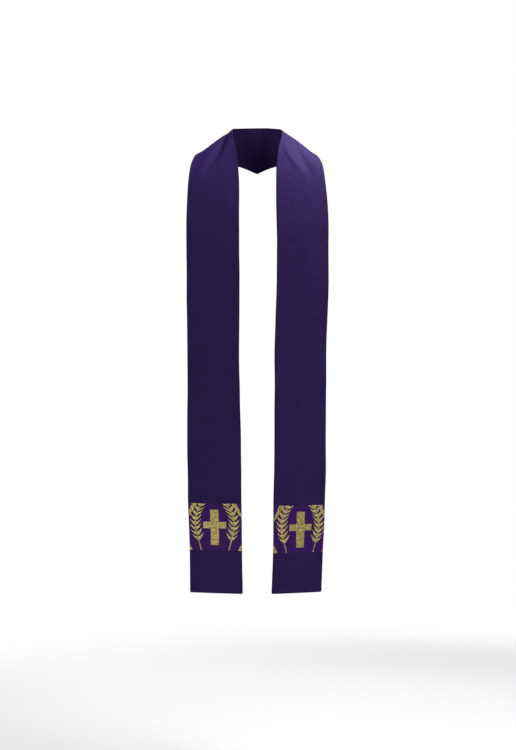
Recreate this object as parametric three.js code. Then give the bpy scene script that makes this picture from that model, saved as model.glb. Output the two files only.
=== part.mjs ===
// A priest's stole, worn: a long flat band of cloth that passes behind the neck, over both
// shoulders and down the front, each end crossed by a brocade band just above the hem.
//
// Millimetres, +Z up. +X is the wearer's left and -Y the wearer's front. The cut halves meet at
// a mitred seam at the centre of the back, and the origin is the top of that seam, on the nape,
// where the neck holds the stole up.

import * as THREE from 'three';
import { mergeVertices } from 'three/addons/utils/BufferGeometryUtils.js';

// ---- driving dimensions -------------------------------------------------------------------

const CLOTH = 2.0; // the wall: face cloth, interlining and backing together
const SEAM_GAP = 0.3; // between two pieces that are sewn edge to edge
const BACK_SEAM_FADE = 25; // the two halves meet level at the back seam, over this length
const WIDTH = 133.4; // across the cloth, from the chest down
const NAPE_Y = 70; // the nape lies this far behind the neck's axis
const NAPE_Z = 14; // and this far above the point where the neck edge crosses the shoulder
const MITRE_DROP = 114; // height of the centre back seam
const CHEST_Y = -127; // the neck edge hangs this far in front of the neck's axis
const HEM_Z = -1154; // the hem, below the point where the neck edge crosses the shoulder
const BAND_HEIGHT = 116; // of the brocade band
const END_HEIGHT = { right: 105.6, left: 100.5 }; // plain cloth below the band

const COLUMNS_ACROSS = 18; // faces across the cloth
const FINE_STEP = 10; // section spacing round the neck and shoulders
const COARSE_STEP = 24; // and where the cloth hangs straight
const FINE_UNTIL = 400; // length of cloth, from the back seam, that takes the fine spacing

// ---- sections -------------------------------------------------------------------------------
// One row for each section of the cloth, from the back seam to the hem. in is the neck edge and
// out the shoulder edge, with x measured away from the middle of the body, all from the neck's
// axis at the height where the neck edge crosses the shoulder. crown is how far the middle of
// the section stands out from the straight line between its edges.

const SECTION_COLUMNS = ['name', 'inX', 'inY', 'inZ', 'outX', 'outY', 'outZ', 'crown'];

const LEVEL_AT_THE_BACK = ['inY', 'outY']; // these run on smoothly across the back seam

const ROUND_THE_NECK = [
  ['nape', 0, NAPE_Y, NAPE_Z, 0, 104, NAPE_Z - MITRE_DROP, 3],
  ['back', 24, 64.5, 13, 40, 107, -83, 4],
  ['shoulder_blade', 47, 46, 9, 84, 97, -75, 5],
  ['neck_side', 60, 18, 4, 118, 68, -64, 5],
  ['shoulder_top', 62, -10, -7, 141, 34, -57, 5],
];

const bandTop = (side) => HEM_Z + END_HEIGHT[side] + BAND_HEIGHT;
const bandBottom = (side) => HEM_Z + END_HEIGHT[side];

const DOWN_THE_FRONT = {
  right: [
    ['over_shoulder', 59, -29, -28, 151.5, 8, -60, 3],
    ['collarbone', 53, -50, -52, 158, -14, -70, 2],
    ['upper_chest', 48.5, -69, -83, 165.5, -39, -93, 2.5],
    ['armhole', 44.8, -88, -122, 170.4, -63, -132, 3],
    ['chest_slope', 43.8, -105, -168, 173.2, -79, -176, 3],
    ['chest', 43.8, -118, -225, 174.2, -90, -230, 3],
    ['below_chest', 43.3, -125, -300, 174.2, -96, -303, 3],
    ['waist', 42.8, CHEST_Y, -400, 173.7, -96, -402, 3],
    ['hip', 43.4, -126, -590, 171.7, -93, -592, 3],
    ['thigh', 39.6, CHEST_Y, -760, 172.2, -95, -762, 3],
    ['band_top', 37.8, CHEST_Y, bandTop('right'), 170, -93, bandTop('right'), 3],
    ['band_bottom', 36.6, -126, bandBottom('right'), 166.4, -90, bandBottom('right'), 3],
    ['hem', 34.8, -125, HEM_Z, 165, -87, HEM_Z, 2],
  ],
  left: [
    ['over_shoulder', 58, -29, -28, 150, 8, -62, 3],
    ['collarbone', 52.5, -50, -52, 155.5, -14, -72, 2],
    ['upper_chest', 49, -69, -83, 163.8, -39, -94, 2.5],
    ['armhole', 47.2, -88, -122, 169.2, -63, -132, 3],
    ['chest_slope', 46.8, -105, -168, 173.5, -79, -176, 3],
    ['chest', 47.5, -118, -225, 176.4, -90, -230, 3],
    ['below_chest', 48.8, -125, -300, 176.7, -95, -303, 3],
    ['waist', 47.8, CHEST_Y, -400, 176.4, -95, -402, 3],
    ['hip', 43.8, CHEST_Y, -520, 172.2, -93, -522, 3],
    ['thigh', 42.8, CHEST_Y, -740, 170.2, -92, -742, 3],
    ['band_top', 40.3, CHEST_Y, bandTop('left'), 168.2, -90, bandTop('left'), 3],
    ['band_bottom', 38.8, CHEST_Y, bandBottom('left'), 162.7, -84, bandBottom('left'), 3],
    ['hem', 35.8, CHEST_Y, HEM_Z, 159.7, -80, HEM_Z, 2],
  ],
};

// ---- folds ----------------------------------------------------------------------------------
// One row for each fold: it runs straight on the cloth from one point to another. s is the
// length from the back seam along the middle of the cloth, t the share of the width from the
// neck edge. height is the crest (a trough is negative). outerHalf and innerHalf are the fold's
// half widths toward the shoulder edge and toward the neck edge.

const FOLD_COLUMNS = ['s0', 't0', 's1', 't1', 'height', 'outerHalf', 'innerHalf'];

const FOLDS = {
  right: [
    [118, 0.1, 278, 0.725, -8, 7, 14],
    [150, 0.4, 266, 0.86, 2, 9, 9],
    [40, 0.62, 110, 0.9, 3, 14, 14],
    [300, 0.2, 520, 0.34, 1.5, 20, 20],
    [560, 0.7, 900, 0.56, 1.5, 24, 24],
  ],
  left: [
    [160, -0.02, 292, 0.61, 1.8, 10, 8],
    [145, 0.35, 292, 0.75, -3, 11, 11],
    [35, 0.62, 120, 0.42, 3.5, 13, 13],
    [380, 0.62, 640, 0.48, 1.5, 22, 22],
    [700, 0.3, 960, 0.4, -1.5, 24, 24],
  ],
};

// ---- the cloth's surface ----------------------------------------------------------------------

/** Rows as objects keyed by column name. */
function table(columns, rows) {
  return rows.map((row) => Object.fromEntries(columns.map((column, i) => [column, row[i]])));
}

/** 0 up to x = 0, 1 from x = 1 and a smooth rise between them. */
function smoothStep(x) {
  const u = Math.min(Math.max(x, 0), 1);
  return u * u * (3 - 2 * u);
}

const innerPoint = (row) => new THREE.Vector3(row.inX, row.inY, row.inZ);
const outerPoint = (row) => new THREE.Vector3(row.outX, row.outY, row.outZ);

/** The length of cloth from the back seam to each section, taken as the mean of both edges. */
function sectionStations(sections) {
  const stations = [0];
  for (let i = 1; i < sections.length; i += 1) {
    const inner = innerPoint(sections[i]).distanceTo(innerPoint(sections[i - 1]));
    const outer = outerPoint(sections[i]).distanceTo(outerPoint(sections[i - 1]));
    stations.push(stations[i - 1] + (inner + outer) / 2);
  }
  return stations;
}

/** A smooth curve through (x[i], y[i]), with slopes taken from the neighbouring points. It may
 *  start level instead. */
function smoothCurve(x, y, startsLevel) {
  const last = x.length - 1;
  const chord = (i) => (y[i + 1] - y[i]) / (x[i + 1] - x[i]);
  const slope = x.map((_, i) => {
    if (i === 0) return startsLevel ? 0 : chord(0);
    if (i === last) return chord(last - 1);
    const before = x[i] - x[i - 1];
    const after = x[i + 1] - x[i];
    return (chord(i - 1) * after + chord(i) * before) / (before + after);
  });
  return (at) => {
    let i = 0;
    while (i < last - 1 && at >= x[i + 1]) i += 1;
    const span = x[i + 1] - x[i];
    const u = (at - x[i]) / span;
    const u2 = u * u;
    const u3 = u2 * u;
    return (
      (2 * u3 - 3 * u2 + 1) * y[i] +
      (u3 - 2 * u2 + u) * span * slope[i] +
      (3 * u2 - 2 * u3) * y[i + 1] +
      (u3 - u2) * span * slope[i + 1]
    );
  };
}

/** Height of all the folds of one side at a point of the cloth. */
function foldHeight(folds, s, t) {
  const p = new THREE.Vector2(s, t * WIDTH);
  return folds.reduce((sum, fold) => {
    const start = new THREE.Vector2(fold.s0, fold.t0 * WIDTH);
    const run = new THREE.Vector2(fold.s1, fold.t1 * WIDTH).sub(start);
    const offset = p.clone().sub(start);
    const along = offset.dot(run) / run.lengthSq();
    if (along <= 0 || along >= 1) return sum;
    const half = run.cross(offset) > 0 ? fold.outerHalf : fold.innerHalf;
    const off = p.distanceTo(start.addScaledVector(run, along)) / half;
    return sum + fold.height * Math.sin(Math.PI * along) * Math.exp(-off * off);
  }, 0);
}

/** One half of the stole as a surface: at(s, t) gives a point of its middle layer and the
 *  direction out of the cloth there. mirror is 1 on the wearer's left and -1 on the right. */
function clothSurface(side) {
  const mirror = side === 'left' ? 1 : -1;
  const sections = table(SECTION_COLUMNS, [...ROUND_THE_NECK, ...DOWN_THE_FRONT[side]]);
  const folds = table(FOLD_COLUMNS, FOLDS[side]);
  const stations = sectionStations(sections);
  const length = stations[stations.length - 1];
  const curves = Object.fromEntries(
    SECTION_COLUMNS.slice(1).map((column) => {
      const values = sections.map((row) => row[column]);
      return [column, smoothCurve(stations, values, LEVEL_AT_THE_BACK.includes(column))];
    }),
  );
  const rowAt = (s) => Object.fromEntries(Object.entries(curves).map(([k, f]) => [k, f(s)]));

  function at(s, t) {
    const row = rowAt(s);
    const before = rowAt(Math.max(s - 0.5, 0));
    const after = rowAt(Math.min(s + 0.5, length));
    const inner = innerPoint(row);
    const outer = outerPoint(row);
    const across = outer.clone().sub(inner);
    const down = innerPoint(after).lerp(outerPoint(after), t);
    down.sub(innerPoint(before).lerp(outerPoint(before), t));
    const out = down.cross(across).normalize();
    out.x *= smoothStep(s / BACK_SEAM_FADE);
    const point = inner.lerp(outer, t);
    point.addScaledVector(out, row.crown * 4 * t * (1 - t) + foldHeight(folds, s, t));
    point.x *= mirror;
    out.x *= mirror;
    return { point, out };
  }

  const stationOf = (name) => stations[sections.findIndex((row) => row.name === name)];
  return { at, mirror, length, stationOf };
}

/** Stations from start to end, closer together round the neck and shoulders. */
function stationsBetween(start, end) {
  const stations = [start];
  const addEvenly = (from, to, step) => {
    const count = Math.max(1, Math.round((to - from) / step));
    for (let i = 1; i <= count; i += 1) stations.push(from + ((to - from) * i) / count);
  };
  const change = Math.min(Math.max(FINE_UNTIL, start), end);
  if (change > start) addEvenly(start, change, FINE_STEP);
  if (end > change) addEvenly(change, end, COARSE_STEP);
  return stations;
}

/** A closed wall of cloth between two stations: a box of faces whose width, height and depth
 *  become the cloth's width, length and thickness. */
function clothWall(surface, start, end) {
  const stations = stationsBetween(start, end);
  const rows = stations.length - 1;
  const grid = new THREE.BoxGeometry(1, 1, 1, COLUMNS_ACROSS, rows, 1);
  grid.deleteAttribute('normal');
  grid.deleteAttribute('uv');
  const wall = mergeVertices(grid, 1e-4);
  const position = wall.getAttribute('position');
  for (let i = 0; i < position.count; i += 1) {
    const t = position.getX(i) + 0.5;
    const row = Math.round((position.getY(i) + 0.5) * rows);
    const { point, out } = surface.at(stations[row], t);
    point.addScaledVector(out, position.getZ(i) * CLOTH);
    if (surface.mirror * point.x < SEAM_GAP / 2) point.x = (surface.mirror * SEAM_GAP) / 2;
    position.setXYZ(i, point.x, point.y, point.z);
  }
  if (surface.mirror > 0) turnFacesOver(wall);
  wall.computeVertexNormals();
  return wall;
}

/** Reverses every triangle, for the side whose cloth is the box's mirror image. */
function turnFacesOver(geometry) {
  const index = geometry.getIndex();
  for (let i = 0; i < index.count; i += 3) {
    const second = index.getX(i + 1);
    index.setX(i + 1, index.getX(i + 2));
    index.setX(i + 2, second);
  }
}

// ---- the pieces ------------------------------------------------------------------------------

const violetCloth = new THREE.MeshStandardMaterial({
  name: 'violet_cloth',
  color: 0x2c1e57,
  roughness: 0.8,
  metalness: 0,
});

const brocade = new THREE.MeshStandardMaterial({
  name: 'brocade',
  color: 0x5a2a78,
  roughness: 0.55,
  metalness: 0.1,
});

/** A side's three pieces: the long panel, the brocade band and the end below it. */
function half(side) {
  const surface = clothSurface(side);
  const bandStart = surface.stationOf('band_top');
  const bandEnd = surface.stationOf('band_bottom');
  const seam = SEAM_GAP / 2;
  const pieces = [
    { name: `${side}_panel`, start: 0, end: bandStart - seam, material: violetCloth },
    { name: `${side}_band`, start: bandStart + seam, end: bandEnd - seam, material: brocade },
    { name: `${side}_end`, start: bandEnd + seam, end: surface.length, material: violetCloth },
  ];
  return pieces.map(({ name, start, end, material }) => {
    const mesh = new THREE.Mesh(clothWall(surface, start, end), material);
    mesh.name = name;
    return mesh;
  });
}

const stole = new THREE.Group();
stole.name = 'stole';
stole.add(...half('right'), ...half('left'));
stole.position.set(0, -NAPE_Y, -NAPE_Z);

export default stole;
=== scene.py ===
"""Looks of a priest's stole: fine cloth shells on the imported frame, a studio and a camera.

Metres, +Z up, +X the wearer's left and -Y the wearer's front. The frame's origin is the nape, at
the top of the centre back seam. The section tables give the cloth from the neck's axis, at the
height where the neck edge crosses the shoulder, as the part's source does.
"""

import math

import bmesh
import bpy
import numpy as np
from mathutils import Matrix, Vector


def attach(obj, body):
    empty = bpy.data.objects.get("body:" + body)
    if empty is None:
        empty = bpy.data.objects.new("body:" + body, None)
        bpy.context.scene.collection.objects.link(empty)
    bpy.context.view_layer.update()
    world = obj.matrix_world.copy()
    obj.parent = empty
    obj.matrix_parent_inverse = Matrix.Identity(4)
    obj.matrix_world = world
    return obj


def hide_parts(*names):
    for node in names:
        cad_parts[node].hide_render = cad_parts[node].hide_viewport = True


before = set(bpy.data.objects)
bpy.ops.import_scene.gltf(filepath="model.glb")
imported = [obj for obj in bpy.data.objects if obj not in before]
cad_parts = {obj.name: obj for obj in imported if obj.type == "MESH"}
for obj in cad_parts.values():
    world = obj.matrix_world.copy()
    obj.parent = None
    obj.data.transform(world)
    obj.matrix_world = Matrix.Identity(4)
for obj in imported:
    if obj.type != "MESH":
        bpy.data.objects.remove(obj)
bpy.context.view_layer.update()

# ---- the cloth --------------------------------------------------------------------------------

SIDES = ("right", "left")
WIDTH = 0.1334  # across the cloth, from the chest down
HALF_THICKNESS = 0.001  # of the cloth
NAPE = np.array([0.0, 0.070, 0.014])  # from the neck's axis
MITRE_DROP = 0.114  # height of the centre back seam
CHEST_Y = -0.127
HEM_Z = -1.154
BAND_HEIGHT = 0.116
END_HEIGHT = {"right": 0.1056, "left": 0.1005}
BAND_TOP = {side: HEM_Z + END_HEIGHT[side] + BAND_HEIGHT for side in SIDES}
BAND_FOOT = {side: HEM_Z + END_HEIGHT[side] for side in SIDES}

# name, neck edge x y z, shoulder edge x y z, crown (how far the middle stands out)
ROUND_THE_NECK = [
    ("nape", 0, NAPE[1], NAPE[2], 0, 0.104, NAPE[2] - MITRE_DROP, 0.003),
    ("back", 0.024, 0.0645, 0.013, 0.040, 0.107, -0.083, 0.004),
    ("shoulder_blade", 0.047, 0.046, 0.009, 0.084, 0.097, -0.075, 0.005),
    ("neck_side", 0.060, 0.018, 0.004, 0.118, 0.068, -0.064, 0.005),
    ("shoulder_top", 0.062, -0.010, -0.007, 0.141, 0.034, -0.057, 0.005),
]
DOWN_THE_FRONT = {
    "right": [
        ("over_shoulder", 0.059, -0.029, -0.028, 0.1515, 0.008, -0.060, 0.003),
        ("collarbone", 0.053, -0.050, -0.052, 0.1580, -0.014, -0.070, 0.002),
        ("upper_chest", 0.0485, -0.069, -0.083, 0.1655, -0.039, -0.093, 0.0025),
        ("armhole", 0.0448, -0.088, -0.122, 0.1704, -0.063, -0.132, 0.003),
        ("chest_slope", 0.0438, -0.105, -0.168, 0.1732, -0.079, -0.176, 0.003),
        ("chest", 0.0438, -0.118, -0.225, 0.1742, -0.090, -0.230, 0.003),
        ("below_chest", 0.0433, -0.125, -0.300, 0.1742, -0.096, -0.303, 0.003),
        ("waist", 0.0428, CHEST_Y, -0.400, 0.1737, -0.096, -0.402, 0.003),
        ("hip", 0.0434, -0.126, -0.590, 0.1717, -0.093, -0.592, 0.003),
        ("thigh", 0.0396, CHEST_Y, -0.760, 0.1722, -0.095, -0.762, 0.003),
        ("band_top", 0.0378, CHEST_Y, BAND_TOP["right"], 0.1700, -0.093, BAND_TOP["right"], 0.003),
        ("band_foot", 0.0366, -0.126, BAND_FOOT["right"], 0.1664, -0.090, BAND_FOOT["right"], 0.003),
        ("hem", 0.0348, -0.125, HEM_Z, 0.1650, -0.087, HEM_Z, 0.002),
    ],
    "left": [
        ("over_shoulder", 0.058, -0.029, -0.028, 0.150, 0.008, -0.062, 0.003),
        ("collarbone", 0.0525, -0.050, -0.052, 0.1555, -0.014, -0.072, 0.002),
        ("upper_chest", 0.0490, -0.069, -0.083, 0.1638, -0.039, -0.094, 0.0025),
        ("armhole", 0.0472, -0.088, -0.122, 0.1692, -0.063, -0.132, 0.003),
        ("chest_slope", 0.0468, -0.105, -0.168, 0.1735, -0.079, -0.176, 0.003),
        ("chest", 0.0475, -0.118, -0.225, 0.1764, -0.090, -0.230, 0.003),
        ("below_chest", 0.0488, -0.125, -0.300, 0.1767, -0.095, -0.303, 0.003),
        ("waist", 0.0478, CHEST_Y, -0.400, 0.1764, -0.095, -0.402, 0.003),
        ("hip", 0.0438, CHEST_Y, -0.520, 0.1722, -0.093, -0.522, 0.003),
        ("thigh", 0.0428, CHEST_Y, -0.740, 0.1702, -0.092, -0.742, 0.003),
        ("band_top", 0.0403, CHEST_Y, BAND_TOP["left"], 0.1682, -0.090, BAND_TOP["left"], 0.003),
        ("band_foot", 0.0388, CHEST_Y, BAND_FOOT["left"], 0.1627, -0.084, BAND_FOOT["left"], 0.003),
        ("hem", 0.0358, CHEST_Y, HEM_Z, 0.1597, -0.080, HEM_Z, 0.002),
    ],
}
NECK_EDGE = slice(0, 3)  # columns of the tables, after the name
SHOULDER_EDGE = slice(3, 6)
CROWN = 6
DEPTH_COLUMNS = (1, 4)  # the y of both edges, which starts level at the back seam

# Each fold runs straight on the cloth from (s, t) to (s, t): s is the length from the back seam
# and t the share of the width from the neck edge. Then its height, and its half width toward the
# shoulder edge and toward the neck edge.
FOLDS = {
    "right": [
        (0.118, 0.10, 0.278, 0.725, -0.0080, 0.0070, 0.0140),
        (0.150, 0.40, 0.266, 0.86, 0.0020, 0.009, 0.009),
        (0.040, 0.62, 0.110, 0.90, 0.0030, 0.014, 0.014),
        (0.300, 0.20, 0.520, 0.34, 0.0015, 0.020, 0.020),
        (0.560, 0.70, 0.900, 0.56, 0.0015, 0.024, 0.024),
    ],
    "left": [
        (0.160, -0.02, 0.292, 0.61, 0.0018, 0.010, 0.008),
        (0.145, 0.35, 0.292, 0.75, -0.0030, 0.011, 0.011),
        (0.035, 0.62, 0.120, 0.42, 0.0035, 0.013, 0.013),
        (0.380, 0.62, 0.640, 0.48, 0.0015, 0.022, 0.022),
        (0.700, 0.30, 0.960, 0.40, -0.0015, 0.024, 0.024),
    ],
}

EDGE_RADIUS = 0.0012  # of the turned edges
HEM_CORNER = 0.004  # radius of the turned corners, seen from the front
HEM_CORNER_REACH = 0.030
ALLOWANCE = 0.009  # width of the seam allowances that lie inside the edges
ALLOWANCE_FADE = 0.003
ALLOWANCE_PLUMP = 0.22  # how much thicker the cloth is there
SEAM_LAP = 0.0004  # each sewn edge runs this far past its seam, so that no light shows through
BACK_SEAM_FADE = 0.025  # the two halves meet level at the back seam
PUCKER_REACH = 0.010  # the seams draw the cloth in this far away
SLOPE_STEP = 0.0005
COLUMN_STEP = 0.0022
ROW_STEP = 0.0024
BAND_STEP = 0.0012
ARC_STEPS = 5


def smooth_curve(stations, values, level_start=()):
    """A smooth curve through the rows of values, with slopes taken from the neighbouring rows.

    The columns in level_start begin with no slope.
    """
    spans = np.diff(stations)[:, None]
    chords = np.diff(values, axis=0) / spans
    slopes = np.concatenate([chords[:1], chords])
    slopes[1:-1] = (chords[:-1] * spans[1:] + chords[1:] * spans[:-1]) / (spans[:-1] + spans[1:])
    slopes[0, list(level_start)] = 0

    def at(s):
        i = np.clip(np.searchsorted(stations, s, side="right") - 1, 0, len(spans) - 1)
        span = spans[i]
        u = (s - stations[i])[..., None] / span
        start = (2 * u**3 - 3 * u**2 + 1) * values[i] + (u**3 - 2 * u**2 + u) * span * slopes[i]
        return start + (3 * u**2 - 2 * u**3) * values[i + 1] + (u**3 - u**2) * span * slopes[i + 1]

    return at


def unevenness(seed, height, lengths, count=7, turn=0.0, slant=0.7):
    """A sum of faint waves over the cloth, as a function of s and x, the way across.

    lengths are the shortest and the longest wave. turn is the waves' mean direction, 0 along the
    cloth, and slant how far they stray from it.
    """
    rng = np.random.default_rng(seed)
    lengths = rng.uniform(*lengths, count)
    angles = turn + rng.uniform(-slant, slant, count)
    phases = rng.uniform(0, math.tau, count)

    def at(s, x):
        total = np.zeros_like(s)
        for length, angle, phase in zip(lengths, angles, phases, strict=True):
            total += np.sin(math.tau * (s * math.cos(angle) + x * math.sin(angle)) / length + phase)
        return height * total / math.sqrt(count)

    return at


def unit(vectors):
    return vectors / np.linalg.norm(vectors, axis=-1, keepdims=True)


def between_edges(rows, t):
    """Points of the rows at the shares t of the way from the neck edge to the shoulder edge."""
    neck_edge, shoulder_edge = rows[..., NECK_EDGE], rows[..., SHOULDER_EDGE]
    return neck_edge + (shoulder_edge - neck_edge) * t[..., None]


def smooth_step(x):
    x = np.clip(x, 0, 1)
    return x * x * (3 - 2 * x)


class Half:
    """One half of the stole as a surface in the row frame, from the back seam to the hem."""

    def __init__(self, side):
        self.side = side
        self.mirror = 1 if side == "left" else -1
        rows = ROUND_THE_NECK + DOWN_THE_FRONT[side]
        self.names = [row[0] for row in rows]
        values = np.array([row[1:] for row in rows], float)
        steps = np.diff(values, axis=0)
        edge_steps = [np.linalg.norm(steps[:, edge], axis=1) for edge in (NECK_EDGE, SHOULDER_EDGE)]
        self.stations = np.concatenate([[0], np.cumsum(np.mean(edge_steps, axis=0))])
        self.length = self.stations[-1]
        self.curve = smooth_curve(self.stations, values, DEPTH_COLUMNS)
        self.seams = (0.0, self.station_of("band_top"), self.station_of("band_foot"))
        seed = SIDES.index(side)
        self.long_waves = unevenness(30 + seed, 0.0007, (0.11, 0.30))
        self.edge_waves = unevenness(50 + seed, 0.0009, (0.09, 0.21), slant=0.1)
        self.small_waves = unevenness(70 + seed, 0.00012, (0.014, 0.040), count=12, slant=1.5)
        self.puckers = unevenness(
            90 + seed, 0.00014, (0.009, 0.018), count=9, turn=math.pi / 2, slant=0.25
        )

    def station_of(self, name):
        return self.stations[self.names.index(name)]

    def folds(self, s, t):
        total = np.zeros_like(s)
        for s0, t0, s1, t1, height, outer_half, inner_half in FOLDS[self.side]:
            start = np.array([s0, t0 * WIDTH])
            run = np.array([s1, t1 * WIDTH]) - start
            offset = np.stack([s, t * WIDTH], axis=-1) - start
            along = np.clip(offset @ run / (run @ run), 0, 1)
            outward = offset[..., 1] * run[0] - offset[..., 0] * run[1]
            half = np.where(outward > 0, outer_half, inner_half)
            off = np.linalg.norm(offset - along[..., None] * run, axis=-1) / half
            total += height * np.sin(math.pi * along) * np.exp(-(off**2))
        return total

    def waves(self, s, t):
        x = t * WIDTH
        to_edge = (2 * t - 1) ** 2
        to_seam = np.min([np.abs(s - seam) for seam in self.seams], axis=0)
        waves = self.long_waves(s, x) + to_edge * self.edge_waves(s, x) + self.small_waves(s, x)
        waves += np.exp(-((to_seam / PUCKER_REACH) ** 2)) * self.puckers(s, x)
        return waves * smooth_step(s / BACK_SEAM_FADE)

    def at(self, s, t):
        """Points of the cloth's middle layer, with its crown, folds and waves."""
        row = self.curve(s)
        before = self.curve(s - SLOPE_STEP)
        after = self.curve(s + SLOPE_STEP)
        down = between_edges(after, t) - between_edges(before, t)
        out = unit(np.cross(down, row[..., SHOULDER_EDGE] - row[..., NECK_EDGE]))
        out[..., 0] *= smooth_step(s / BACK_SEAM_FADE)
        height = row[..., CROWN] * 4 * t * (1 - t) + self.folds(s, t) + self.waves(s, t)
        points = between_edges(row, t) + out * height[..., None]
        return (points - NAPE) * (self.mirror, 1, 1)

    def frame(self, s, t):
        """Points of the cloth's middle layer, and the directions out of the cloth there."""
        down = self.at(s + SLOPE_STEP, t) - self.at(s - SLOPE_STEP, t)
        step = SLOPE_STEP / WIDTH
        across = self.at(s, t + step) - self.at(s, t - step)
        return self.at(s, t), unit(np.cross(down, across)) * self.mirror


def round_edge(distance, radius=EDGE_RADIUS):
    """The profile of a round edge: 0 at the edge and 1 from its radius inward."""
    return np.sqrt(1 - (1 - np.clip(distance / radius, 0, 1)) ** 2)


def half_thickness(to_end, to_side):
    """Half the cloth's thickness, by the distance to a cross edge and to a side edge."""
    past_allowance = np.minimum(to_end, to_side) - ALLOWANCE
    plump = 1 + ALLOWANCE_PLUMP * smooth_step(1 - past_allowance / ALLOWANCE_FADE)
    return HALF_THICKNESS * round_edge(to_end) * round_edge(to_side) * plump


def edge_places(length, step, radius=EDGE_RADIUS, arc_steps=ARC_STEPS):
    """Places from 0 to length, close together over the round edges."""
    arc = radius * (1 - np.cos(np.linspace(0, math.pi / 2, arc_steps + 1)))
    count = max(2, round((length - 2 * radius) / step))
    middle = np.linspace(radius, length - radius, count + 1)[1:-1]
    return np.concatenate([arc, middle, length - arc[::-1]])


def to_ends(places):
    """How far each place is from the nearer end of its row."""
    return np.minimum(places, places[-1] - places)


def corner_pull(x, to_hem):
    """How far the hem's corners are drawn up, so that they are round."""
    inside = np.clip(HEM_CORNER - np.minimum(x, WIDTH - x), 0, HEM_CORNER)
    arc = HEM_CORNER - np.sqrt(HEM_CORNER**2 - inside**2)
    return arc * smooth_step(1 - to_hem / HEM_CORNER_REACH)


def layer_faces(index):
    """Quads between the points of one layer, given as a grid of point numbers."""
    quads = np.stack([index[:-1, :-1], index[1:, :-1], index[1:, 1:], index[:-1, 1:]], axis=-1)
    return quads.reshape(-1, 4)


def cut_from_corners(quads, corners):
    """The quads as lists, with each one at a corner cut in two from that corner.

    Otherwise its other diagonal could part it, and the two layers would share a triangle there.
    """
    faces = []
    for quad in quads.tolist():
        at = [i for i, point in enumerate(quad) if point in corners]
        if at:
            corner, *others = quad[at[0] :] + quad[: at[0]]
            faces += [[corner, *others[:2]], [corner, *others[1:]]]
        else:
            faces.append(quad)
    return faces


def show(name, mesh, place, materials):
    """A smooth-shaded object.

    place holds each point's way across the cloth, its length s and its distance to a seam, for
    the weave and the stitches.
    """
    mesh.polygons.foreach_set("use_smooth", np.ones(len(mesh.polygons), bool))
    attribute = mesh.attributes.new("cloth_place", "FLOAT_VECTOR", "POINT")
    attribute.data.foreach_set("vector", place.astype(np.float32).ravel())
    for material in materials:
        mesh.materials.append(material)
    mesh.update()
    piece = bpy.data.objects.new(name, mesh)
    bpy.context.scene.collection.objects.link(piece)
    return piece


def cloth_shell(half, node, start, end, step, face_material, lining_material, hem=False):
    """A thin closed shell on one node's form, with round edges. Its end is sewn, or is the hem."""
    rows = edge_places(end - start, step)
    columns = edge_places(WIDTH, min(step, COLUMN_STEP))
    s, x = np.meshgrid(start + rows, columns, indexing="ij")
    to_seam = (rows if hem else to_ends(rows))[:, None] + np.zeros_like(x)
    if hem:
        s = s - corner_pull(x, end - s)
    middle, out = half.frame(s, x / WIDTH)
    thick = half_thickness(to_ends(rows)[:, None], to_ends(columns)[None, :])[..., None]
    place = np.stack([x, s, to_seam], axis=-1)

    inside = (slice(1, -1), slice(1, -1))
    face_index = np.arange(s.size).reshape(s.shape)
    lining_index = face_index.copy()  # the lining shares the border's points
    inner = face_index[inside]
    lining_index[inside] = s.size + np.arange(inner.size).reshape(inner.shape)
    face_points = (middle + out * thick).reshape(-1, 3)
    lining_points = (middle - out * thick)[inside].reshape(-1, 3)
    points = np.concatenate([face_points, lining_points])
    places = np.concatenate([place.reshape(-1, 3), place[inside].reshape(-1, 3)])
    turn = slice(None, None, half.mirror)
    corners = {face_index[row, column] for row in (0, -1) for column in (0, -1)}
    face = cut_from_corners(layer_faces(face_index)[:, turn], corners)
    lining = cut_from_corners(layer_faces(lining_index)[:, ::-1][:, turn], corners)

    mesh = bpy.data.meshes.new(f"{node}_cloth")
    mesh.from_pydata(points.tolist(), [], face + lining)
    slots = np.repeat([0, 1], [len(face), len(lining)])
    mesh.polygons.foreach_set("material_index", slots.astype(np.int32))
    return show(mesh.name, mesh, places, (face_material, lining_material))


# ---- the woven gold ---------------------------------------------------------------------------
# The design is drawn on the flat band: x is measured from the band's middle and y down from its
# top. Each piece of it is a grid of points (x, y, height above the ground).

MOTIF_SHIFT = {"right": (0.0006, 0.0), "left": (0.0032, 0.001)}  # outward and down, as it was cut
GOLD_LIFT = 0.0002  # of its face over the ground
GOLD_SINK = 0.00035  # of its underside below the ground's face
GOLD_EDGE = 0.0003  # radius of its edges
GOLD_RISE = 4  # how fast the ears come up to the full lift at their edges
GOLD_STEP = 0.0022
GOLD_ARC_STEPS = 2
GOLD_MARGIN = 0.0003  # it stops this far inside the band's edges
LAYER_STEP = 0.000002  # each piece lies this much over the one before, so that no two coincide

CROSS_TOP = 0.0153
CROSS_BOTTOM = 0.1024
CROSS_HALF = 0.0103
ARM_HALF = 0.0290
ARM_TOP = 0.0456
ARM_BOTTOM = 0.0614

# The bar across each upper corner: where its two lines leave the band, in from the side along
# the top and down along the side. The wedge in each lower corner is cut by one such line.
BAR_TOP = (0.0115, 0.0240)
BAR_SIDE = (0.0260, 0.0360)
WEDGE_TOP = 0.0995
WEDGE_WIDTH = 0.0090
OVERRUN = 0.004  # the corner pieces are drawn this far past the band and then cut off

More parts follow.
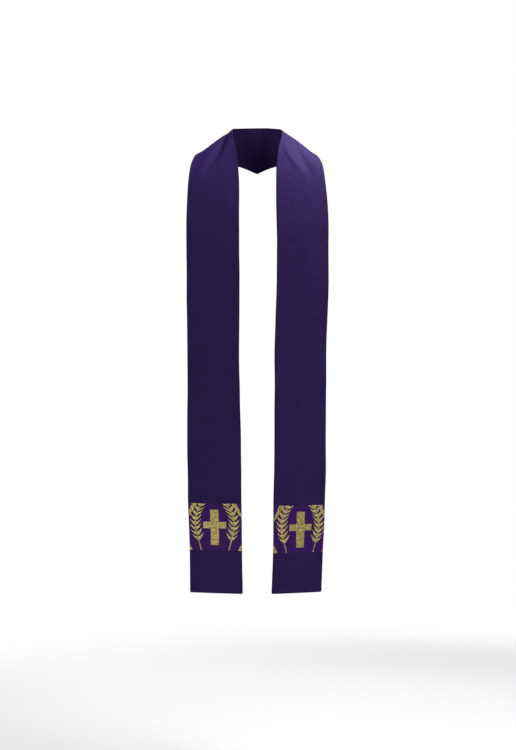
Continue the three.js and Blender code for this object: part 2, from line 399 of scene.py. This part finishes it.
# The ear's stalk, from its tip to its foot. The ear bows outward.
STALK = np.array(
    [
        (0.0290, -0.002),
        (0.0338, 0.0065),
        (0.0370, 0.0122),
        (0.0412, 0.020),
        (0.0464, 0.0315),
        (0.0486, 0.0435),
        (0.0489, 0.0555),
        (0.0480, 0.068),
        (0.0443, 0.0815),
        (0.0417, 0.0905),
    ]
)
STALK_FOOT = np.array([(0.0417, 0.0895), (0.0385, 0.102), (0.0345, 0.118)])
STALK_HALF = 0.0014
FOOT_HALF = 0.0013
STALK_CROWN = 0.0001
STALK_PLACES = 25
GRAIN_PAIRS = 8
GRAIN_PITCH = 0.0124
LOWEST_GRAINS = 0.0915  # where the lowest pair leaves the stalk
LEAN = 0.3  # the grains lean with the stalk by this share only
SLIT_SPREAD = math.radians(55)  # the slits between grains stand off the ear's line so far
SLIT_WIDTH = 0.0036
# A grain's tip from its upper root, out and up, on the ear's side next to the cross and on the
# other. The bends are shares of that reach: of its upper edge, and of its lower edge from its root.
GRAIN_TIPS = {-1: (0.0162, 0.0122), 1: (0.0144, 0.0118)}
UPPER_BEND = (0.78, 0.46)
LOWER_BEND = (0.66, 0.33)
TIP_REACH = 0.985  # the share of a grain's outline that is drawn, so that its tip has a width
GRAIN_CROWN = 0.0011
GRAIN_ROWS = 13
GRAIN_COLUMNS = np.array([0.0, 0.07, 0.25, 0.5, 0.75, 0.93, 1.0])
UP_THE_BAND = np.array([0.0, -1.0])


def along_path(points, places):
    """Points at those lengths of a smooth path through the points, and the directions there."""
    steps = np.linalg.norm(np.diff(points, axis=0), axis=1)
    stations = np.concatenate([[0], np.cumsum(steps)])
    curve = smooth_curve(stations, points)
    direction = unit(curve(places + SLOPE_STEP) - curve(places - SLOPE_STEP))
    return curve(places), direction


def path_length(points):
    return np.linalg.norm(np.diff(points, axis=0), axis=1).sum()


def rounded_back(crown):
    """Heights across a grain or stalk: soon at the full lift, and up by the crown in the middle."""
    back = 4 * GRAIN_COLUMNS * (1 - GRAIN_COLUMNS)
    return GOLD_LIFT * np.minimum(1, GOLD_RISE * back) + crown * back


def ribbon(centre, direction, half_width):
    """A ribbon of gold along a centre line, with a rounded back."""
    normal = np.stack([-direction[:, 1], direction[:, 0]], axis=-1)
    off = (2 * GRAIN_COLUMNS - 1)[None, :, None]
    flat = centre[:, None] + normal[:, None] * half_width * off
    rise = np.broadcast_to(rounded_back(STALK_CROWN), flat.shape[:2])
    return np.concatenate([flat, rise[..., None]], axis=-1)


def turned(direction, angle):
    c, s = math.cos(angle), math.sin(angle)
    return np.array([direction[0] * c - direction[1] * s, direction[0] * s + direction[1] * c])


def bent(start, bend, end, u):
    """Points on a curve from start to end that is drawn toward the bend."""
    return start * (1 - u) ** 2 + bend * 2 * u * (1 - u) + end * u**2


def grain(lower_root, upper_root, out, up):
    """A wheat grain: a leaf with a broad foot on the stalk, a round lower edge and a pointed tip.

    out and up are its tip's reach from the upper root, along the two directions of the ear.
    """
    u = np.linspace(0, TIP_REACH, GRAIN_ROWS)[:, None]
    tip, upper_bend, lower_bend = (out * a + up * b for a, b in ((1, 1), UPPER_BEND, LOWER_BEND))
    upper = bent(upper_root, upper_root + upper_bend, upper_root + tip, u)[:, None]
    lower = bent(lower_root, lower_root + lower_bend, upper_root + tip, u)[:, None]
    flat = lower + (upper - lower) * GRAIN_COLUMNS[None, :, None]
    rise = rounded_back(GRAIN_CROWN * np.sqrt(1 - u))
    return np.concatenate([flat, rise[..., None]], axis=-1)


def ear():
    """The pieces of one ear of wheat, right of the band's middle."""
    pieces = []
    lowest = path_length(STALK) * LOWEST_GRAINS / STALK[-1][1]
    for i in range(GRAIN_PAIRS):
        place = lowest - i * GRAIN_PITCH
        (root,), (down,) = along_path(STALK, np.array([place]))
        up = unit(LEAN * -down + (1 - LEAN) * UP_THE_BAND)
        for side in (-1, 1):
            slit = turned(up, side * SLIT_SPREAD)
            across_slit = abs(slit[0] * down[1] - slit[1] * down[0])
            foot = GRAIN_PITCH - SLIT_WIDTH / across_slit
            (upper_root,), _ = along_path(STALK, np.array([place - foot]))
            reach, rise = GRAIN_TIPS[side]
            out = turned(up, side * math.pi / 2)
            pieces.append(grain(root, upper_root, out * reach, up * rise))
    for path, half_width in ((STALK, STALK_HALF), (STALK_FOOT, FOOT_HALF)):
        places = np.linspace(0, path_length(path), STALK_PLACES)
        pieces.append(ribbon(*along_path(path, places), half_width))
    return pieces


def bar(a, b, c, d):
    """A flat piece of gold whose corners go round, a to b along it."""
    a, b, c, d = (np.array(corner, float) for corner in (a, b, c, d))
    along = edge_places(np.linalg.norm(b - a), GOLD_STEP, GOLD_EDGE, GOLD_ARC_STEPS)
    across = edge_places(np.linalg.norm(d - a), GOLD_STEP, GOLD_EDGE, GOLD_ARC_STEPS)
    u = (along / along[-1])[:, None, None]
    v = (across / across[-1])[None, :, None]
    flat = (a * (1 - u) + b * u) * (1 - v) + (d * (1 - u) + c * u) * v
    rise = round_edge(to_ends(along), GOLD_EDGE)[:, None] * round_edge(to_ends(across), GOLD_EDGE)
    return np.concatenate([flat, GOLD_LIFT * rise[..., None]], axis=-1)


def overrun(a, b):
    """The line from a to b, longer at both ends."""
    a, b = np.array(a), np.array(b)
    more = unit(b - a) * OVERRUN
    return a - more, b + more


def corner_pieces():
    """The gold that the band's cut leaves in its upper and lower corners."""
    side = WIDTH / 2
    outer = overrun((side - BAR_TOP[0], 0), (side, BAR_SIDE[0]))
    inner = overrun((side - BAR_TOP[1], 0), (side, BAR_SIDE[1]))
    top, foot = overrun((side, WEDGE_TOP), (side - WEDGE_WIDTH, BAND_HEIGHT))
    beyond = (side + OVERRUN + WEDGE_WIDTH, foot[1])
    return [bar(*outer, *inner[::-1]), bar(top, foot, beyond, top + (beyond - foot) / 2)]


def level_bar(half_width, top, bottom):
    """A bar across the band's middle."""
    return bar((-half_width, top), (half_width, top), (half_width, bottom), (-half_width, bottom))


def cross():
    upright = level_bar(CROSS_HALF, CROSS_TOP, CROSS_BOTTOM)
    return [level_bar(ARM_HALF, ARM_TOP, ARM_BOTTOM), upright]


def gold_design():
    """All the pieces of the design, each lying a little over the one before."""
    one_side = corner_pieces() + ear()
    other_side = [piece * (-1, 1, 1) for piece in one_side]
    pieces = cross() + one_side + other_side
    return [piece + (0, 0, LAYER_STEP * i) for i, piece in enumerate(pieces)]


def closed_piece(grid):
    """The points and faces of a closed piece between a grid and its sunken underside."""
    rows, columns = grid.shape[:2]
    upper = np.arange(rows * columns).reshape(rows, columns)
    lower = upper + upper.size
    rings = [
        np.concatenate([index[0, :-1], index[:-1, -1], index[-1, :0:-1], index[:0:-1, 0]])
        for index in (upper, lower)
    ]
    walls = np.stack([rings[0], np.roll(rings[0], -1), np.roll(rings[1], -1), rings[1]], axis=-1)
    under = grid * (1, 1, 0) - (0, 0, GOLD_SINK)
    points = np.concatenate([grid.reshape(-1, 3), under.reshape(-1, 3)])
    return points, np.concatenate([layer_faces(upper), layer_faces(lower), walls])


def cut_to_band(piece):
    """Cuts a flat piece along lines near the band's borders, and off at the last line of each."""
    side = WIDTH / 2
    borders = {(1, 0): (side, 0), (-1, 0): (-side, 0), (0, -1): (0, 0), (0, 1): (0, BAND_HEIGHT)}
    for out, place in borders.items():
        for inset in (EDGE_RADIUS, EDGE_RADIUS / 2, GOLD_MARGIN):
            cut = bmesh.ops.bisect_plane(
                piece,
                geom=piece.verts[:] + piece.edges[:] + piece.faces[:],
                plane_co=(place[0] - out[0] * inset, place[1] - out[1] * inset, 0),
                plane_no=(*out, 0),
                clear_outer=inset == GOLD_MARGIN,
            )
        rim = [edge for edge in cut["geom_cut"] if isinstance(edge, bmesh.types.BMEdge)]
        bmesh.ops.edgeloop_fill(piece, edges=rim)


def laid_on_band(half, grid, start, end):
    """A piece of the design, closed and laid on the band's face, and its points' places."""
    piece = bmesh.new()
    points, faces = closed_piece(grid + (*MOTIF_SHIFT[half.side], 0))
    corners = [piece.verts.new(point) for point in points]
    for face in faces:
        piece.faces.new([corners[i] for i in face])
    cut_to_band(piece)

    x, y, height = np.array([vertex.co[:] for vertex in piece.verts]).T
    s = start + y * (end - start) / BAND_HEIGHT
    middle, out = half.frame(s, 0.5 + x / WIDTH)
    to_end = np.minimum(y, BAND_HEIGHT - y) + SEAM_LAP
    thick = half_thickness(to_end, WIDTH / 2 - np.abs(x))
    laid = middle + out * (thick + height)[:, None]
    for vertex, point in zip(piece.verts, laid, strict=True):
        vertex.co = point
    bmesh.ops.recalc_face_normals(piece, faces=piece.faces)
    if piece.calc_volume(signed=True) < 0:
        bmesh.ops.reverse_faces(piece, faces=piece.faces)
    return piece, np.stack([x + WIDTH / 2, s, np.ones_like(s)], axis=-1)


def gold_weave(half, node, start, end, material):
    """The gold design as thin closed pieces on the band's face."""
    mesh = bpy.data.meshes.new(f"{node}_gold")
    weave = bmesh.new()
    places = []
    for grid in gold_design():
        piece, place = laid_on_band(half, grid, start, end)
        piece.to_mesh(mesh)
        piece.free()
        weave.from_mesh(mesh)
        places.append(place)
    weave.to_mesh(mesh)
    weave.free()
    return show(mesh.name, mesh, np.concatenate(places), (material,))


# ---- materials --------------------------------------------------------------------------------


def srgb(*levels):
    """A colour from its 0 to 255 levels, as linear numbers."""
    shares = [level / 255 for level in levels]
    linear = [c / 12.92 if c <= 0.04045 else ((c + 0.055) / 1.055) ** 2.4 for c in shares]
    return (*linear, 1.0)


class Material:
    """A node material and the few calls that build it."""

    def __init__(self, name, **sockets):
        self.material = bpy.data.materials.new(name)
        self.material.use_nodes = True
        self.tree = self.material.node_tree
        self.shader = self.tree.nodes["Principled BSDF"]
        for socket, value in sockets.items():
            self.shader.inputs[socket.replace("_", " ")].default_value = value

    def add(self, kind, inputs=None, **settings):
        node = self.tree.nodes.new(kind)
        for name, value in settings.items():
            setattr(node, name, value)
        for name, value in (inputs or {}).items():
            if isinstance(value, bpy.types.NodeSocket):
                self.tree.links.new(value, node.inputs[name])
            else:
                node.inputs[name].default_value = value
        return node

    def feed(self, socket, output):
        self.tree.links.new(output, self.shader.inputs[socket])

    def cloth_place(self):
        return self.add("ShaderNodeAttribute", attribute_name="cloth_place").outputs["Vector"]

    def place(self, stretch=(1, 1, 1)):
        """The place on the cloth, stretched."""
        inputs = {0: self.cloth_place(), 1: stretch}
        return self.add("ShaderNodeVectorMath", inputs, operation="MULTIPLY").outputs["Vector"]

    def place_parts(self):
        """X, the way across the cloth, Y, the length s, and Z, the distance to a seam."""
        return self.add("ShaderNodeSeparateXYZ", {0: self.cloth_place()}).outputs

    def noise(self, vector, scale, detail=2.0, roughness=0.5):
        inputs = {"Vector": vector, "Scale": scale, "Detail": detail, "Roughness": roughness}
        return self.add("ShaderNodeTexNoise", inputs).outputs["Fac"]

    def threads(self, direction, pitch):
        """Parallel threads of that pitch in the plane of the cloth, as a height from 0 to 1."""
        pitch_at_scale_1 = math.tau / 20  # of Blender's wave texture
        scale = pitch_at_scale_1 / pitch
        inputs = {"Vector": self.place((1, 1, 0)), "Scale": scale, "Distortion": 0.0}
        return self.add("ShaderNodeTexWave", inputs, bands_direction=direction).outputs["Fac"]

    def math(self, operation, a, b=0.0, c=0.0):
        return self.add("ShaderNodeMath", {0: a, 1: b, 2: c}, operation=operation).outputs[0]

    def between(self, low, high, share):
        """A value that goes from low to high with the share."""
        return self.math("MULTIPLY_ADD", share, high - low, low)

    def blend(self, a, b, share):
        """a and b together, with that share of b."""
        return self.math("MULTIPLY_ADD", b, share, self.math("MULTIPLY", a, 1 - share))

    def ramp(self, factor, stops):
        node = self.add("ShaderNodeValToRGB", {"Fac": factor})
        elements = node.color_ramp.elements
        while len(elements) < len(stops):
            elements.new(1.0)
        for element, (position, colour) in zip(elements, stops, strict=True):
            element.position = position
            element.color = colour
        return node.outputs["Color"]

    def mix(self, factor, a, b):
        return self.add("ShaderNodeMix", {0: factor, 6: a, 7: b}, data_type="RGBA").outputs[2]

    def bump(self, height, distance, strength, normal=None):
        inputs = {"Height": height, "Distance": distance, "Strength": strength}
        if normal is not None:
            inputs["Normal"] = normal
        return self.add("ShaderNodeBump", inputs).outputs["Normal"]


# Pitches and depths are in metres. A noise's scale is how many times it changes in a metre.
CLOTH_THREAD = 0.00045  # pitch of the plain cloth's threads
CLOTH_WEFT = 0.00036
TWILL_DEPTH = 0.00004
CREPE = 180.0
CREPE_DEPTH = 0.0003
MOTTLE = 26.0
SLUBS = (900.0, 22.0, 0.0)  # across and along the cloth
FUZZ = 420.0
SATIN_THREAD = 0.0005
SATIN_DEPTH = 0.00004
SATIN_LINE = 0.0021
SATIN_LINE_DEPTH = 0.00008
SATIN_STREAKS = (300.0, 16.0, 0.0)
GOLD_WEFT = 0.0006
GOLD_WEFT_DEPTH = 0.00006
GOLD_GRAINS = 520.0
GOLD_GRAIN_DEPTH = 0.0004
GOLD_FLECKS = 210.0
STITCH = 0.0028  # pitch of the stitches along a seam
STITCH_REACH = 0.0022
STITCH_DEPTH = 0.0005
EDGE_SHADE = 0.5  # the share of its colour that the cloth loses along its side edges: painted shade on the turned edges
EDGE_SHADE_REACH = 0.0035


def stitches(m, normal):
    """The pull of each stitch along a sewn end, on top of the weave's normal."""
    place = m.place_parts()
    near = m.math("DIVIDE", place["Z"], STITCH_REACH)
    fade = m.math("POWER", math.e, m.math("MULTIPLY", m.math("MULTIPLY", near, near), -1.0))
    beat = m.math("COSINE", m.math("MULTIPLY", place["X"], math.tau / STITCH))
    height = m.math("MULTIPLY", m.math("MULTIPLY_ADD", beat, -0.5, -0.5), fade)
    return m.bump(height, STITCH_DEPTH, strength=0.8, normal=normal)


def painted_edge_shade(m, colour):
    """The colour, darker along the side edges: painted shade where the cloth turns under."""
    from_middle = m.math("ABSOLUTE", m.math("SUBTRACT", m.place_parts()["X"], WIDTH / 2))
    limits = {
        "Value": from_middle,
        "From Min": WIDTH / 2 - EDGE_SHADE_REACH,
        "From Max": WIDTH / 2 - EDGE_RADIUS,
        "To Min": 1.0,
        "To Max": 1 - EDGE_SHADE,
    }
    share = m.add("ShaderNodeMapRange", limits, interpolation_type="SMOOTHSTEP").outputs["Result"]
    inputs = {0: colour, "Scale": share}
    return m.add("ShaderNodeVectorMath", inputs, operation="SCALE").outputs["Vector"]


def violet_cloth():
    """Smooth, matt violet cloth with a fine twill, faint slubs, a soft sheen and painted shade along
    its side edges.
    """
    m = Material(
        "violet_cloth",
        Sheen_Weight=0.05,
        Sheen_Roughness=0.4,
        Sheen_Tint=srgb(140, 95, 215),
        Specular_IOR_Level=0.03,
    )
    mottle = m.noise(m.place(), MOTTLE, detail=3.0)
    slubs = m.noise(m.place(SLUBS), 1.0)
    mottled = m.ramp(mottle, [(0.3, srgb(42, 29, 73)), (0.7, srgb(46, 31, 79))])
    slubbed = m.ramp(slubs, [(0.35, srgb(41, 28, 71)), (0.65, srgb(48, 32, 82))])
    # the base colour carries painted shade along the side edges
    m.feed("Base Color", painted_edge_shade(m, m.mix(0.5, mottled, slubbed)))
    m.feed("Roughness", m.between(0.58, 0.72, m.noise(m.place(), FUZZ)))
    weave = m.blend(m.threads("DIAGONAL", CLOTH_THREAD), m.threads("Y", CLOTH_WEFT), 0.3)
    twill = m.bump(weave, TWILL_DEPTH, strength=0.35)
    crepe = m.bump(m.noise(m.place(), CREPE, detail=3.0), CREPE_DEPTH, strength=0.12, normal=twill)
    m.feed("Normal", stitches(m, crepe))
    return m.material


def brocade():
    """Purple satin ground with faint lengthwise lines."""
    m = Material(
        "brocade",
        Sheen_Weight=0.15,
        Sheen_Roughness=0.35,
        Sheen_Tint=srgb(150, 80, 215),
        Specular_IOR_Level=0.15,
    )
    lines = m.threads("X", SATIN_LINE)
    streaks = m.noise(m.place(SATIN_STREAKS), 1.0)
    stops = [(0.25, srgb(51, 15, 84)), (0.75, srgb(62, 19, 98))]
    m.feed("Base Color", m.ramp(m.blend(streaks, lines, 0.3), stops))
    m.feed("Roughness", m.between(0.45, 0.61, streaks))
    ribs = m.bump(m.threads("X", SATIN_THREAD), SATIN_DEPTH, strength=0.4)
    satin = m.bump(lines, SATIN_LINE_DEPTH, strength=0.4, normal=ribs)
    m.feed("Normal", stitches(m, satin))
    return m.material


def gold_thread():
    """Woven metal thread: speckled, ribbed across, dull gold."""
    m = Material("gold_thread", Metallic=0.7, Specular_IOR_Level=0.4)
    grains = m.noise(m.place(), GOLD_GRAINS, detail=3.0, roughness=0.7)
    flecks = m.noise(m.place(), GOLD_FLECKS, detail=1.0)
    stops = [(0.34, srgb(111, 90, 41)), (0.51, srgb(204, 181, 108)), (0.68, srgb(255, 246, 190))]
    m.feed("Base Color", m.ramp(m.blend(grains, flecks, 0.5), stops))
    m.feed("Roughness", m.between(0.36, 0.61, grains))
    ribs = m.bump(m.threads("Y", GOLD_WEFT), GOLD_WEFT_DEPTH, strength=0.6)
    m.feed("Normal", m.bump(grains, GOLD_GRAIN_DEPTH, strength=0.35, normal=ribs))
    return m.material


# ---- the pieces -------------------------------------------------------------------------------


def make_half(side, violet, satin, gold):
    half = Half(side)
    _, band_start, band_end = half.seams
    lap = SEAM_LAP
    panel = cloth_shell(half, f"{side}_panel", -lap, band_start + lap, ROW_STEP, violet, violet)
    band = cloth_shell(
        half, f"{side}_band", band_start - lap, band_end + lap, BAND_STEP, satin, violet
    )
    end = cloth_shell(
        half, f"{side}_end", band_end - lap, half.length, BAND_STEP, violet, violet, hem=True
    )
    weave = gold_weave(half, f"{side}_band", band_start, band_end, gold)
    for piece, node, slot in (
        (panel, f"{side}_panel", "violet_cloth"),
        (band, f"{side}_band", "brocade"),
        (end, f"{side}_end", "violet_cloth"),
    ):
        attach(piece, "root")
        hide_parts(node)
    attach(weave, "root")


finishes = (violet_cloth(), brocade(), gold_thread())
for side in SIDES:
    make_half(side, *finishes)

# ---- studio -----------------------------------------------------------------------------------

FLOOR_Z = -1.62
FLOOR_RADIUS = 2.6
FLOOR_FADE = 1.6  # from this radius outward the floor melts into the white surroundings
FLOOR_MOTTLE = 60.0
AMBIENT = 0.03  # strength of the surroundings' light on the cloth


def floor_finish():
    m = Material("pale_floor", Specular_IOR_Level=0.1, Roughness=0.9)
    place = m.add("ShaderNodeTexCoord").outputs["Object"]
    stops = [(0.3, srgb(208, 208, 208)), (0.7, srgb(212, 212, 212))]
    m.feed("Base Color", m.ramp(m.noise(place, FLOOR_MOTTLE, detail=3.0), stops))
    radius = m.add("ShaderNodeVectorMath", {0: place}, operation="LENGTH").outputs["Value"]
    limits = {"Value": radius, "From Min": FLOOR_FADE, "From Max": FLOOR_RADIUS}
    fade = m.add("ShaderNodeMapRange", limits, interpolation_type="SMOOTHSTEP").outputs["Result"]
    clear = m.add("ShaderNodeBsdfTransparent").outputs[0]
    shown = m.add("ShaderNodeMixShader", {0: fade, 1: m.shader.outputs[0], 2: clear}).outputs[0]
    m.tree.links.new(shown, m.tree.nodes["Material Output"].inputs["Surface"])
    return m.material


def make_floor():
    mesh = bpy.data.meshes.new("floor")
    disc = bmesh.new()
    bmesh.ops.create_circle(disc, cap_ends=True, segments=96, radius=FLOOR_RADIUS)
    disc.to_mesh(mesh)
    disc.free()
    mesh.materials.append(floor_finish())
    floor = bpy.data.objects.new("floor", mesh)
    floor.location.z = FLOOR_Z
    bpy.context.scene.collection.objects.link(floor)


def softbox(name, place, aim, size, watts):
    """A square area light at place, facing aim."""
    light = bpy.data.lights.new(name, "AREA")
    light.shape = "SQUARE"
    light.size = size
    light.energy = watts
    lamp = bpy.data.objects.new(name, light)
    lamp.location = place
    lamp.rotation_euler = (Vector(aim) - Vector(place)).to_track_quat("-Z", "Y").to_euler()
    bpy.context.scene.collection.objects.link(lamp)


def make_world():
    """White all round for the camera, and a faint light on the cloth."""
    world = bpy.data.worlds.new("studio")
    world.use_nodes = True
    nodes, links = world.node_tree.nodes, world.node_tree.links
    background = nodes["Background"]
    background.inputs["Color"].default_value = (1, 1, 1, 1)
    path = nodes.new("ShaderNodeLightPath")
    strength = nodes.new("ShaderNodeMapRange")
    strength.inputs["To Min"].default_value = AMBIENT
    strength.inputs["To Max"].default_value = 1.0
    links.new(path.outputs["Is Camera Ray"], strength.inputs["Value"])
    links.new(strength.outputs["Result"], background.inputs["Strength"])
    bpy.context.scene.world = world


make_floor()
make_world()
softbox("top_softbox", place=(1.2, 0.3, 1.6), aim=(0.05, 0.0, -0.1), size=2.0, watts=136)
softbox("key_softbox", place=(1.4, -1.2, 1.25), aim=(0.05, 0.0, -0.1), size=1.1, watts=39)
softbox("fill_softbox", place=(-2.4, -2.8, 0.7), aim=(0.0, -0.1, -0.4), size=1.8, watts=60)
softbox("back_softbox", place=(-1.4, 3.0, -0.1), aim=(0.0, 0.0, -0.5), size=1.8, watts=60)

# ---- camera -----------------------------------------------------------------------------------

IMAGE_HEIGHT = 750  # pixels
METRES_PER_PIXEL = 0.00245  # at the front of the stole
FRONT_Y = CHEST_Y - NAPE[1]
CAMERA_DISTANCE = 4.5
CAMERA_Z = -0.631
SENSOR = 36.0

camera = bpy.data.objects.new("camera", bpy.data.cameras.new("camera"))
camera.data.sensor_width = SENSOR
camera.data.lens = SENSOR * CAMERA_DISTANCE / (IMAGE_HEIGHT * METRES_PER_PIXEL)
camera.location = (METRES_PER_PIXEL, FRONT_Y - CAMERA_DISTANCE, CAMERA_Z)
camera.rotation_euler = (math.pi / 2, 0, 0)
bpy.context.scene.collection.objects.link(camera)
bpy.context.scene.camera = camera
bpy.context.scene.view_settings.view_transform = "Standard"

# ---- the update -------------------------------------------------------------------------------

bpy.context.view_layer.update()
